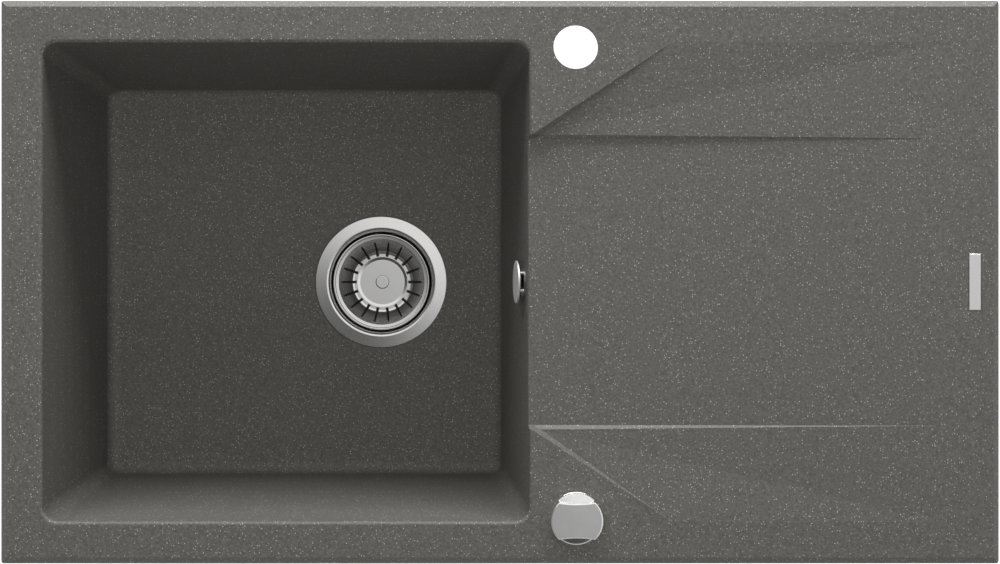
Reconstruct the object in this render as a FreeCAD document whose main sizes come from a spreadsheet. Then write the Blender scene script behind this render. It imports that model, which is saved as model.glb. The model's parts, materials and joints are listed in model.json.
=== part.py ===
# Granite kitchen sink with one bowl and a faceted drainer, its knob-operated basket waste and its overflow.
# X runs along the sink towards the drainer, Y towards the tap hole at the back, Z up. All in millimetres.
# The origin is the middle of the rim's footprint, on the worktop that the rim rests on.
import FreeCAD, Part
import math
import os
import re

import Sketcher

SIZES = {
    # casting
    "sink_length": 780,
    "sink_width": 440,
    "rim_thickness": 10,
    "rim_bevel": 5.3,
    "rim_corner": 2.3,
    "seat_width": 14,
    "seat_height": 1,
    "wall": 9,
    # bowl: rim widths beside it, mouth length, depth, draft of each wall from mouth to floor, rounds
    "rim_left": 32.9,
    "rim_side": 33,
    "bowl_length": 380.2,
    "bowl_depth": 175,
    "draft_left": 15.8,
    "draft_right": 22.7,
    "draft_side": 20.5,
    "bowl_corner": 12,
    "floor_round": 10.5,
    "mouth_round": 3,
    # drainer: sloping trough, and a two-facet wing on each side of it
    "trough_half": 112,
    "trough_depth": 8.7,
    "trough_margin": 44,
    "pan_margin": 14,
    "lip_round": 1.5,
    "wing_depth": 5,
    "wing_margin": 33,
    "wing_run": 111.5,
    "tip_run": 9,
    "tip_step": 3.3,
    "corner_run": 2.4,
    "corner_step": 3.4,
    # holes in the rim and the plate let into it
    "hole_radius": 17.5,
    "hole_offset": 36.1,
    "hole_margin": 36.4,
    "badge_length": 44.1,
    "badge_width": 9.3,
    "badge_thickness": 1.2,
    "badge_round": 0.5,
    "badge_sink": 0.8,
    "badge_gap": 0.4,
    "badge_margin": 19.9,
    # drain hole
    "drain_offset": 104.4,
    "drain_hole": 45,
    "drain_bevel": 2.5,
    "recess_radius": 58,
    "recess_depth": 2,
    "boss_radius": 64,
    "boss_height": 3,
    # general clearances
    "slack": 0.3,
    "running": 0.05,
    # waste flange and cup
    "flange_radius": 57,
    "flange_rise": 0.2,
    "flange_crown": 0.8,
    "flange_steel": 1.2,
    "lip_inner": 45.6,
    "lip_roll": 4,
    "roll_round": 3,
    "cup_radius": 43.4,
    "cup_depth": 24,
    "seat_radius": 36,
    "seat_depth": 29,
    "cup_floor": 29,
    "cup_bottom": 37,
    "grid_count": 6,
    "grid_radius": 7,
    "grid_circle": 18.5,
    # strainer basket
    "basket_radius": 42.1,
    "basket_rim": 4.7,
    "rim_ring": 1.6,
    "rim_fall": 0.2,
    "rim_step": 1,
    "basket_drop": 3,
    "basket_turn": 3.5,
    "basket_steel": 1,
    "basket_floor": 26.6,
    "basket_depth": 17.95,
    "basket_round": 4,
    "floor_inner": 22,
    "middle_radius": 19.7,
    "middle_depth": 18.5,
    "edge_round": 0.8,
    "slot_count": 18,
    "slot_inner": 22.8,
    "slot_outer": 35.3,
    "slot_root": 2.6,
    "slot_tip": 1.4,
    # basket hub, its sealing lip and its rivet
    "hub_flange": 23.5,
    "hub_plate": 1.5,
    "hub_lip": 18,
    "hub_boss": 6.5,
    "socket_depth": 6,
    "seal_core": 15,
    "seal_thickness": 3,
    "seal_flat": 36,
    "seal_edge": 39,
    "seal_lean": 1,
    "seal_rise": 1.5,
    "rivet_head": 6.1,
    "rivet_rise": 1.3,
    "rivet_round": 0.97,
    "rivet_shank": 2.6,
    "rivet_length": 3,
    # waste body
    "gasket": 3,
    "gasket_width": 11,
    "body_flange": 60,
    "body_flange_height": 4,
    "body_radius": 50,
    "body_wall": 3,
    "body_straight": 50,
    "body_cone": 36,
    "outlet_radius": 23.9,
    "outlet_wall": 3.4,
    "outlet_length": 30,
    "spider_hub": 10,
    "spider_height": 9,
    "spider_rib": 5,
    "spider_count": 3,
    "body_joint": 47.5,
    "inlet_depth": 35,
    "inlet_reach": 72,
    # centre bolt and lift pin
    "bolt_head": 9,
    "bolt_head_height": 4,
    "bolt_radius": 5,
    "bolt_length": 13,
    "pin_radius": 3,
    "pin_length": 40.2,
    # bell crank on its axle, and the rod that pulls it
    "crank_arm": 26,
    "crank_nose": 1,
    "crank_thickness": 5,
    "crank_width": 9,
    "crank_boss": 5,
    "crank_rise": 12,
    "fork_slot": 3.6,
    "fork_tip": 3.5,
    "axle_radius": 2,
    "lug_thickness": 3,
    "lug_length": 12,
    "lug_height": 8,
    "rod_radius": 1.2,
    "rod_head": 2,
    "rod_head_length": 2,
    # cable and its nuts
    "cable_radius": 2.5,
    "cable_bore": 1.5,
    "cable_run": 89.3,
    "cable_bend_top": 50,
    "cable_bend_bottom": 80,
    "cable_spigot": 7,
    "cable_spigot_bore": 2.8,
    "cable_spigot_reach": 62,
    "cable_nut": 9,
    "cable_nut_length": 12,
    "cable_nut_groove": 0.7,
    "cable_nut_grooves": 20,
    # knob housing under the rim
    "knob_seal": 2,
    "case_radius": 20.4,
    "case_height": 29,
    "case_wall": 5,
    "case_roof": 9,
    "neck_radius": 16.5,
    "neck_rise": 2,
    "lid_thickness": 3,
    "lid_screws": 3,
    "lid_screw_radius": 1.25,
    "lid_screw_head": 2.3,
    "lid_screw_head_height": 1.5,
    "lid_screw_length": 11,
    "drum_radius": 14,
    "drum_groove": 9,
    "drum_height": 19,
    "cable_boss": 7,
    "cable_boss_reach": 24,
    # knob, its ring, spindle and set screw
    "ring_seal": 0.6,
    "ring_radius": 20,
    "ring_height": 2.2,
    "ring_bevel": 0.5,
    "knob_radius": 20,
    "knob_gap": 0.4,
    "knob_base": 7,
    "knob_scoop": 1,
    "knob_height": 19,
    "knob_waist": 13.25,
    "knob_waist_curve": 94,
    "knob_bevel": 0.9,
    "knob_bevel_drop": 0.5,
    "spindle_radius": 5,
    "spindle_engage": 12,
    "set_screw_radius": 2,
    "set_screw_length": 12,
    # overflow, measured square to the bowl's right wall
    "overflow_drop": 35,
    "overflow_hole": 11,
    "cover_radius": 17,
    "cover_stand": 5,
    "cover_thickness": 1.2,
    "cover_step": 13.5,
    "cover_step_height": 0.8,
    "post_count": 4,
    "post_radius": 1.1,
    "post_circle": 10,
    "collar_radius": 11.6,
    "collar_lip": 0.8,
    "collar_bore": 8.5,
    "collar_length": 24,
    "elbow_flange": 16.5,
    "elbow_radius": 13.5,
    "elbow_back": 42,
    "elbow_end": 3,
    "elbow_drop_run": 28,
    "elbow_bottom": 75,
    # ribbed overflow hose and its nuts
    "hose_radius": 12,
    "hose_valley": 10.9,
    "hose_bore": 9.5,
    "hose_bend": 50,
    "hose_pitch": 5,
    "hose_flank": 1,
    "hose_nut": 15.5,
    "hose_nut_length": 14,
    "hose_nut_groove": 1,
    "hose_nut_grooves": 24,
}

# Sizes that follow from those above. Depths in the waste and the knob are counted downwards.
DERIVED = {
    "bowl_left": "rim_left - sink_length / 2",
    "bowl_right": "bowl_left + bowl_length",
    "bowl_half": "sink_width / 2 - rim_side",
    "floor_z": "rim_thickness - bowl_depth",
    "trough_end": "sink_length / 2 - trough_margin",
    "trough_slope": "trough_depth / (trough_end - bowl_right)",
    "wing_half": "sink_width / 2 - wing_margin",
    "hole_x": "bowl_right + hole_offset",
    "hole_y": "sink_width / 2 - hole_margin",
    "badge_x": "sink_length / 2 - badge_margin",
    "deck": "rim_thickness - seat_height",
    "drain_x": "bowl_right - draft_right - drain_offset",
    "lip_under": "flange_rise - flange_steel",
    "cup_under": "cup_bottom + flange_steel",
    "seat_lean": "(seat_depth - cup_depth) / (cup_radius - seat_radius)",
    "basket_inner": "basket_radius - basket_rim",
    "hub_top": "middle_depth + basket_steel",
    "rim_bottom": "basket_drop + 2 * rim_fall + rim_step",
    "floor_under": "basket_depth + basket_steel",
    "seal_top": "hub_top + hub_plate",
    "seal_bottom": "seal_top + seal_thickness",
    "hub_bottom": "seal_bottom + socket_depth",
    "seal_touch": "cup_depth + (cup_radius - seal_edge) * seat_lean - slack / cos(atan(seat_lean))",
    "spider_bottom": "cup_under + spider_height",
    "body_top": "wall + boss_height + gasket",
    "body_inner": "body_radius - body_wall",
    "outlet_top": "body_straight + body_cone",
    "outlet_bottom": "outlet_top + outlet_length",
    "outlet_bore": "outlet_radius - outlet_wall",
    "pin_bottom": "seal_bottom + pin_length",
    "crank_depth": "pin_bottom + slack + crank_thickness / 2",
    "cable_depth": "crank_depth - crank_rise",
    "case_top": "deck + knob_seal",
    "case_bottom": "case_top + case_height",
    "lid_bottom": "case_bottom + lid_thickness",
    "drum_top": "case_top + case_roof + slack",
    "drum_middle": "drum_top + drum_height / 2",
    "knob_foot": "ring_seal + ring_height + knob_gap",
    "knob_top": "knob_foot + knob_height",
    "cable_x": "hole_x - drum_groove",
    "cable_drop_y": "cable_run - hole_y",
    "overflow_x": "bowl_right - draft_right * overflow_drop / bowl_depth",
    "cover_back": "cover_stand - cover_step_height",
    "wall_through": "wall * cos(atan(draft_right / bowl_depth))",
    "elbow_face": "wall_through + gasket",
    "hose_x": "overflow_x + elbow_drop_run",
}

doc = FreeCAD.newDocument("granite_sink")
sheet = doc.addObject("Spreadsheet::Sheet", "Sizes")
for row, (alias, size) in enumerate(SIZES.items(), 1):
    sheet.set(f"A{row}", alias)
    sheet.set(f"B{row}", str(size))
    sheet.setAlias(f"B{row}", alias)
doc.recompute()

Vector = FreeCAD.Vector
Rotation = FreeCAD.Rotation
UP = Vector(0, 0, 1)
nodes = []


# Reading sizes and binding objects to them

def formula(text):
    """Spell a size formula out in the sheet's aliases."""
    def spell(match):
        word = match.group(0)
        if word in DERIVED:
            return "(" + formula(DERIVED[word]) + ")"
        return "Sizes." + word if word in SIZES else word
    return re.sub(r"[a-z]\w*", spell, text)


def value(text):
    """The number that a size formula comes to."""
    return float(sheet.evalExpression(formula(text)))


def bind(thing, **formulas):
    """Bind properties of a document object to size formulas."""
    for name, text in formulas.items():
        thing.setExpression(name, formula(text))
    return thing


def place(thing, x="0", y="0", z="0", turn=None):
    """Turn an object if asked, and bind its position."""
    if turn is not None:
        thing.Placement = FreeCAD.Placement(Vector(), turn)
    for axis, text in zip("xyz", (x, y, z)):
        thing.setExpression(".Placement.Base." + axis, formula(text))
    return thing


def node(thing):
    """Count an object as a piece of the sink, under its own label."""
    nodes.append(thing)
    return thing


# Sketches and bodies

def new_body(label):
    return doc.addObject("PartDesign::Body", label)


def new_sketch(body, name, plane):
    sketch = body.newObject("Sketcher::SketchObject", name)
    support = next(f for f in body.Origin.OriginFeatures if f.Role == plane)
    sketch.AttachmentSupport = [(support, "")]
    sketch.MapMode = "FlatFace"
    return sketch


def dimension(sketch, name, text, kind, *where):
    """Add one dimension to a sketch, bound to a size formula."""
    number = sketch.addConstraint(Sketcher.Constraint(kind, *where, value(text)))
    sketch.renameConstraint(number, name)
    sketch.setExpression("Constraints." + name, formula(text))


def outline(body, name, plane, corners):
    """A closed sketch of straight lines, with each corner dimensioned from the origin."""
    sketch = new_sketch(body, name, plane)
    points = [Vector(value(x), value(y), 0) for x, y in corners]
    count = len(points)
    for i in range(count):
        sketch.addGeometry(Part.LineSegment(points[i], points[(i + 1) % count]), False)
    for i in range(count):
        sketch.addConstraint(Sketcher.Constraint("Coincident", i, 2, (i + 1) % count, 1))
    for i, (x, y) in enumerate(corners):
        dimension(sketch, f"across{i}", x, "DistanceX", -1, 1, i, 1)
        dimension(sketch, f"along{i}", y, "DistanceY", -1, 1, i, 1)
    return sketch


def circles(body, name, plane, rounds):
    """A sketch of circles, each given by its middle and its radius."""
    sketch = new_sketch(body, name, plane)
    for i, (x, y, radius) in enumerate(rounds):
        middle = Vector(value(x), value(y), 0)
        sketch.addGeometry(Part.Circle(middle, UP, value(radius)), False)
        dimension(sketch, f"across{i}", x, "DistanceX", -1, 1, i, 3)
        dimension(sketch, f"along{i}", y, "DistanceY", -1, 1, i, 3)
        dimension(sketch, f"radius{i}", radius, "Radius", i)
    return sketch


def rectangle(half_x, half_y):
    left = f"-({half_x})"
    front = f"-({half_y})"
    return [(left, front), (half_x, front), (half_x, half_y), (left, half_y)]


def pad(body, sketch, length, symmetric=False):
    feature = body.newObject("PartDesign::Pad", body.Label + "_pad")
    feature.Profile = sketch
    feature.Midplane = symmetric
    return bind(feature, Length=length)


def lathe(label, corners):
    """A turned piece: a profile of (radius, height) corners revolved about Z."""
    body = new_body(label)
    sketch = outline(body, label + "_profile", "XZ_Plane", corners)
    turned = body.newObject("PartDesign::Revolution", label + "_turned")
    turned.Profile = sketch
    turned.ReferenceAxis = (sketch, ["V_Axis"])
    turned.Angle = 360
    return body


def ring(label, inner, outer, low, high):
    return lathe(label, [(inner, low), (outer, low), (outer, high), (inner, high)])


def rod(label, radius, low, high):
    return lathe(label, [("0", low), (radius, low), (radius, high), ("0", high)])


def edges_where(shape, wanted):
    """Numbers, from 1, of the edges that a test picks."""
    return [i for i, edge in enumerate(shape.Edges, 1) if wanted(edge)]


def ring_edge(radius, height):
    """A test for the round edge of a turned piece at a radius and a height."""
    r = value(radius)
    z = value(height)

    def wanted(edge):
        curve = edge.Curve
        round_edge = isinstance(curve, Part.Circle)
        return round_edge and abs(curve.Radius - r) < 1e-4 and abs(curve.Center.z - z) < 1e-4
    return wanted


def level_edge(height):
    """A test for an edge that lies level at a height."""
    z = value(height)
    return lambda edge: all(abs(v.Z - z) < 1e-4 for v in edge.Vertexes)


def upright(edge):
    """Whether an edge climbs from one height to another."""
    return abs(edge.Vertexes[0].Z - edge.Vertexes[-1].Z) > 1


def dress(body, kind, size_name, size, *tests):
    """Fillet or chamfer the edges of a body that any of the tests picks."""
    doc.recompute()
    base = body.Tip
    picked = edges_where(base.Shape, lambda edge: any(test(edge) for test in tests))
    feature = body.newObject("PartDesign::" + kind, f"{body.Label}_{kind.lower()}")
    feature.Base = (base, [f"Edge{i}" for i in picked])
    return bind(feature, **{size_name: size})


def soften(body, size, *tests):
    return dress(body, "Fillet", "Radius", size, *tests)


def bevel(body, size, *tests):
    return dress(body, "Chamfer", "Size", size, *tests)


def cut_through(body, sketch, count):
    """Cut a sketch through a body, repeated round Z."""
    pocket = body.newObject("PartDesign::Pocket", sketch.Label + "_cut")
    pocket.Profile = sketch
    pocket.Midplane = True
    pocket.Type = "ThroughAll"
    doc.recompute()
    pattern = body.newObject("PartDesign::PolarPattern", sketch.Label + "_pattern")
    pattern.Originals = [pocket]
    pattern.Axis = (sketch, ["N_Axis"])
    pattern.Angle = 360
    bind(pattern, Occurrences=count)
    body.Tip = pattern


def flute(body, radius, groove, count):
    """Grip grooves round the outside of a nut."""
    cut_through(body, circles(body, body.Label + "_groove", "XY_Plane", [(radius, "0", groove)]), count)


# Part primitives and booleans

def cylinder(label, radius, height):
    return bind(doc.addObject("Part::Cylinder", label), Radius=radius, Height=height)


def block(label, length, width, height):
    return bind(doc.addObject("Part::Box", label), Length=length, Width=width, Height=height)


def fuse(label, *shapes):
    joined = doc.addObject("Part::MultiFuse", label)
    joined.Shapes = list(shapes)
    return joined


def cut(label, base, tool):
    result = doc.addObject("Part::Cut", label)
    result.Base = base
    result.Tool = tool
    return result


def common(label, base, tool):
    result = doc.addObject("Part::Common", label)
    result.Base = base
    result.Tool = tool
    return result


def compound(label, *shapes):
    group = doc.addObject("Part::Compound", label)
    group.Links = list(shapes)
    return group


def rounded(label, base, size, wanted):
    """A Part fillet on the edges that a test picks."""
    doc.recompute()
    radius = value(size)
    result = doc.addObject("Part::Fillet", label)
    result.Base = base
    result.Edges = [(i, radius, radius) for i in edges_where(base.Shape, wanted)]
    return result


def free_shape(label, shape):
    """A document object for a shape that no feature makes."""
    thing = doc.addObject("Part::Feature", label)
    thing.Shape = shape
    return thing


# Sink casting

def bowl_block(label, skin, top, bottom, corner, floor_round):
    """The bowl as a drafted block with rounded upright and floor edges, outset by a skin."""
    wedge = doc.addObject("Part::Wedge", label + "_block")
    high = f"((rim_thickness - ({top})) / bowl_depth)"
    low = f"((rim_thickness - ({bottom})) / bowl_depth)"
    bind(wedge, Ymin=bottom, Ymax=top)
    for end, share in (("2", high), ("", low)):
        half = f"bowl_half - draft_side * {share} + {skin}"
        bind(wedge, **{
            f"X{end}min": f"bowl_left + draft_left * {share} - {skin}",
            f"X{end}max": f"bowl_right - draft_right * {share} + {skin}",
            f"Z{end}min": f"-({half})",
            f"Z{end}max": half,
        })
    place(wedge, turn=Rotation(Vector(1, 0, 0), 90))
    standing = rounded(label + "_corners", wedge, corner, upright)
    return rounded(label, standing, floor_round, level_edge(bottom))


def rim():
    """The bevelled rim plate with its seat band below."""
    plate = new_body("rim_plate")
    sides = rectangle("sink_length / 2", "sink_width / 2")
    pad(plate, outline(plate, "rim_outline", "XY_Plane", sides), "rim_thickness")
    bevel(plate, "rim_bevel", level_edge("rim_thickness"))
    corners = new_body("rim_corners")
    pad(corners, outline(corners, "corner_outline", "XY_Plane", sides), "rim_thickness")
    soften(corners, "rim_corner", upright)
    inner_length = "sink_length - 2 * seat_width"
    inner_width = "sink_width - 2 * seat_width"
    under = block("rim_underside", inner_length, inner_width, "seat_height")
    place(under, f"-({inner_length}) / 2", f"-({inner_width}) / 2")
    return cut("rim", common("rim_rounded", plate, corners), under)


def pan():
    """The sloping underside of the drainer, parallel to the trough."""
    body = new_body("drainer_pan")
    start = "bowl_right - mouth_round"
    drop = "rim_thickness - wall - trough_slope * "
    corners = [
        (start, "rim_thickness / 2"),
        (start, drop + f"(trough_end - ({start}))"),
        ("trough_end", "rim_thickness - wall"),
        ("trough_end", "rim_thickness / 2"),
    ]
    pad(body, outline(body, "pan_profile", "XZ_Plane", corners), "2 * (trough_half + pan_margin)", True)
    return body


def trough():
    """What the trough takes out, open towards the bowl."""
    body = new_body("trough_cut")
    start = "bowl_right - draft_right"
    corners = [
        (start, "2 * rim_thickness"),
        (start, f"rim_thickness - trough_slope * (trough_end - ({start}))"),
        ("trough_end", "rim_thickness"),
        ("trough_end", "2 * rim_thickness"),
    ]
    pad(body, outline(body, "trough_profile", "XZ_Plane", corners), "2 * trough_half", True)
    return body


def polyhedron(faces):
    sides = [Part.Face(Part.makePolygon(points + points[:1])) for points in faces]
    return Part.Solid(Part.Shell(sides))


def wing(label, side):
    """What one wing takes out: two facets, the diagonal wall and the step down to the trough."""
    def point(x, y, depth):
        return Vector(value(x), side * value(y), value("rim_thickness - " + depth))

    near = "bowl_right + corner_run"
    rim_corner = point(near, "trough_half + corner_step", "0")
    rim_inner = point(near, "trough_half", "0")
    trough_corner = point(near, "trough_half", f"trough_slope * (trough_end - ({near}))")
    back_corner = point("bowl_right + wing_run", "wing_half", "0")
    far_corner = point("trough_end", "wing_half", "0")
    far_inner = point("trough_end", "trough_half", "0")
    tip = point("bowl_right + tip_run", "trough_half + tip_step", "wing_depth")
    mouth = [rim_inner, rim_corner, trough_corner]
    faceted = polyhedron([
        [tip, rim_corner, back_corner],
        [tip, back_corner, far_corner],
        [tip, far_corner, far_inner],
        [tip, far_inner, trough_corner],
        [tip, trough_corner, rim_corner],
        [rim_inner, trough_corner, far_inner],
        mouth,
        [rim_inner, rim_corner, back_corner, far_corner, far_inner],
    ])
    opening = Part.Face(Part.makePolygon(mouth + mouth[:1])).extrude(Vector(-value("draft_right"), 0, 0))
    return free_shape(label, faceted.fuse(opening))


def bored(label, radius, x, y, low, high):
    """An upright cutter."""
    return place(cylinder(label, radius, f"({high}) - ({low})"), x, y, low)


def sink_body():
    under = "floor_z - wall"
    outside = bowl_block(
        "bowl_outside", "wall", "rim_thickness / 2", under, "bowl_corner + wall", "floor_round + wall"
    )
    boss = bored("drain_boss", "boss_radius", "drain_x", "0", under + " - boss_height", under + " / 2")
    casting = fuse("casting", rim(), outside, pan(), boss)
    inside = bowl_block("bowl_inside", "0", "rim_thickness", "floor_z", "bowl_corner", "floor_round")
    hollow = cut("hollow_casting", casting, inside)

    at_top = level_edge("rim_thickness")
    left = value("bowl_left - mouth_round")
    right = value("bowl_right + mouth_round")

    def in_mouth(edge):
        return at_top(edge) and all(left < v.X < right for v in edge.Vertexes)

    mouth = rounded("rounded_mouth", hollow, "mouth_round", in_mouth)

    drainer = fuse("drainer_cut", trough(), wing("wing_back", 1), wing("wing_front", -1))
    drained = cut("drained_casting", mouth, drainer)
    half = value("trough_half")
    under_rim = value("rim_thickness - wall - trough_depth / 2")

    def on_lip(edge):
        ends = sorted(v.Y for v in edge.Vertexes)
        middle = edge.CenterOfMass
        spans = len(ends) == 2 and abs(ends[0] + half) < 0.01 and abs(ends[1] - half) < 0.01
        return spans and middle.x < right and middle.z > under_rim

    lipped = rounded("rounded_lip", drained, "lip_round", on_lip)

    high = "floor_z + recess_depth"
    holes = [
        bored("drain_bore", "drain_hole", "drain_x", "0", under + " - 2 * boss_height", high),
        bored("drain_recess", "recess_radius", "drain_x", "0", "floor_z - recess_depth", high),
        bored("tap_bore", "hole_radius", "hole_x", "hole_y", "-rim_thickness", "2 * rim_thickness"),
        bored("knob_bore", "hole_radius", "hole_x", "-hole_y", "-rim_thickness", "2 * rim_thickness"),
    ]
    chamfer = bind(doc.addObject("Part::Cone", "drain_bevel"), Height="drain_bevel")
    bind(chamfer, Radius1="drain_hole", Radius2="drain_hole + drain_bevel")
    holes.append(place(chamfer, "drain_x", "0", "floor_z - recess_depth - drain_bevel"))
    holes.append(on_wall(cylinder("overflow_bore", "overflow_hole", "4 * wall"), "-2 * wall"))
    recess_width = "badge_width + 2 * badge_gap"
    recess_length = "badge_length + 2 * badge_gap"
    recess = block("badge_recess", recess_width, recess_length, "rim_thickness")
    place(recess, f"badge_x - ({recess_width}) / 2", f"-({recess_length}) / 2", "rim_thickness - badge_sink")
    holes.append(recess)
    node(cut("sink_body", lipped, fuse("holes", *holes)))


def badge_plate():
    body = node(new_body("badge_plate"))
    sides = rectangle("badge_width / 2", "badge_length / 2")
    pad(body, outline(body, "badge_outline", "XY_Plane", sides), "badge_thickness")
    soften(body, "badge_round", level_edge("badge_thickness"))
    place(body, "badge_x", "0", "rim_thickness - badge_sink")


# Waste, with heights counted from the bowl's floor

def at_drain(thing):
    return place(thing, "drain_x", "0", "floor_z")


def waste_flange():
    body = node(lathe("waste_flange", [
        ("flange_radius", "lip_under"),
        ("flange_radius", "flange_rise"),
        ("lip_inner", "flange_rise + flange_crown"),
        ("cup_radius", "flange_rise - lip_roll"),
        ("cup_radius", "-cup_depth"),
        ("seat_radius", "-seat_depth"),
        ("cup_floor", "-cup_bottom"),
        ("bolt_radius + slack", "-cup_bottom"),
        ("bolt_radius + slack", "-cup_under"),
        ("cup_floor + flange_steel / 2", "-cup_under"),
        ("seat_radius + flange_steel", "-seat_depth - flange_steel / 2"),
        ("cup_radius + flange_steel", "-cup_depth - flange_steel / 2"),
        ("cup_radius + flange_steel", "flange_rise - lip_roll - flange_steel / 2"),
        ("lip_inner + flange_steel / 2", "lip_under"),
    ]))
    soften(body, "roll_round", ring_edge("lip_inner", "flange_rise + flange_crown"))
    soften(body, "lip_roll / 2", ring_edge("cup_radius", "flange_rise - lip_roll"))
    grid = circles(body, "flange_grid", "XY_Plane", [("grid_circle", "0", "grid_radius")])
    cut_through(body, grid, "grid_count")
    at_drain(body)
    at_drain(node(ring("flange_seal", "lip_inner + flange_steel / 2 + slack", "flange_radius - flange_steel",
                       "-recess_depth", "lip_under")))


def strainer_basket():
    """Pressed basket: two sloping rings form its rim, its floor is a ring round a sunk middle."""
    steel = "basket_steel"
    step_radius = "basket_radius - rim_ring - rim_step / 2"
    step_height = "-basket_drop - rim_fall - rim_step"
    body = node(lathe("strainer_basket", [
        ("basket_radius", "-basket_drop - basket_turn"),
        ("basket_radius", "-basket_drop"),
        ("basket_radius - rim_ring", "-basket_drop - rim_fall"),
        (step_radius, step_height),
        ("basket_inner", "-rim_bottom"),
        ("basket_floor", "-basket_depth"),
        ("floor_inner", "-basket_depth"),
        ("middle_radius", "-middle_depth"),
        ("rivet_shank + running", "-middle_depth"),
        ("rivet_shank + running", "-hub_top"),
        (f"middle_radius + {steel} / 2", "-hub_top"),
        (f"floor_inner + {steel} / 2", "-floor_under"),
        (f"basket_floor + {steel} / 2", "-floor_under"),
        (f"basket_inner + {steel} / 2", f"-rim_bottom - {steel}"),
        (step_radius, f"{step_height} - {steel}"),
        (f"basket_radius - {steel}", f"-basket_drop - rim_fall - {steel}"),
        (f"basket_radius - {steel}", "-basket_drop - basket_turn"),
    ]))
    soften(body, "basket_round", ring_edge("basket_floor", "-basket_depth"),
           ring_edge("basket_floor + basket_steel / 2", "-floor_under"))
    soften(body, "edge_round", ring_edge("floor_inner", "-basket_depth"),
           ring_edge("basket_radius", "-basket_drop"), ring_edge("basket_inner", "-rim_bottom"))
    slot = outline(body, "basket_slot", "XY_Plane", [
        ("slot_inner", "-slot_root / 2"),
        ("slot_outer", "-slot_tip / 2"),
        ("slot_outer", "slot_tip / 2"),
        ("slot_inner", "slot_root / 2"),
    ])
    cut_through(body, slot, "slot_count")
    at_drain(body)


def basket_fittings():
    """Hub with the lift pin's socket, sealing lip in the hub's groove, and the rivet through the middle."""
    at_drain(node(lathe("basket_hub", [
        ("rivet_shank + running", "-hub_top"),
        ("hub_flange", "-hub_top"),
        ("hub_flange", "-seal_top"),
        ("seal_core", "-seal_top"),
        ("seal_core", "-seal_bottom"),
        ("hub_lip", "-seal_bottom"),
        ("hub_lip", "-seal_bottom - hub_plate"),
        ("hub_boss", "-seal_bottom - hub_plate"),
        ("hub_boss", "-hub_bottom"),
        ("pin_radius + slack", "-hub_bottom"),
        ("pin_radius + slack", "-seal_bottom"),
        ("0", "-seal_bottom"),
        ("0", "-hub_top - rivet_length - slack"),
        ("rivet_shank + running", "-hub_top - rivet_length - slack"),
    ])))
    at_drain(node(lathe("basket_seal", [
        ("seal_core + running", "-seal_bottom"),
        ("seal_core + running", "-seal_top"),
        ("seal_flat", "-seal_top"),
        ("seal_edge + seal_lean", "-seal_touch + seal_rise"),
        ("seal_edge", "-seal_touch"),
        ("seal_flat - seal_rise", "-seal_bottom"),
    ])))
    rivet = node(lathe("basket_rivet", [
        ("0", "-hub_top - rivet_length"),
        ("rivet_shank", "-hub_top - rivet_length"),
        ("rivet_shank", "-middle_depth"),
        ("rivet_head", "-middle_depth"),
        ("rivet_head", "rivet_rise - middle_depth"),
        ("0", "rivet_rise - middle_depth"),
    ]))
    soften(rivet, "rivet_round", ring_edge("rivet_head", "rivet_rise - middle_depth"))
    at_drain(rivet)


# Directions in the waste body: the cable leaves it towards the place where it drops beside the bowl

cable_way = Vector(value("cable_x - drain_x"), value("cable_drop_y"), 0).normalize()
cable_turn = Rotation(UP, cable_way)
cable_heading = math.degrees(math.atan2(cable_way.y, cable_way.x))
crank_across = cable_way.cross(UP)


def along_cable(reach, depth):
    """A point in the waste, by its distance from the drain's axis towards the cable and its depth."""
    return Vector(value("drain_x"), 0, value(f"floor_z - ({depth})")) + cable_way * value(reach)


def stand(thing, turn, point):
    thing.Placement = FreeCAD.Placement(point, turn)
    return thing


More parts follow.
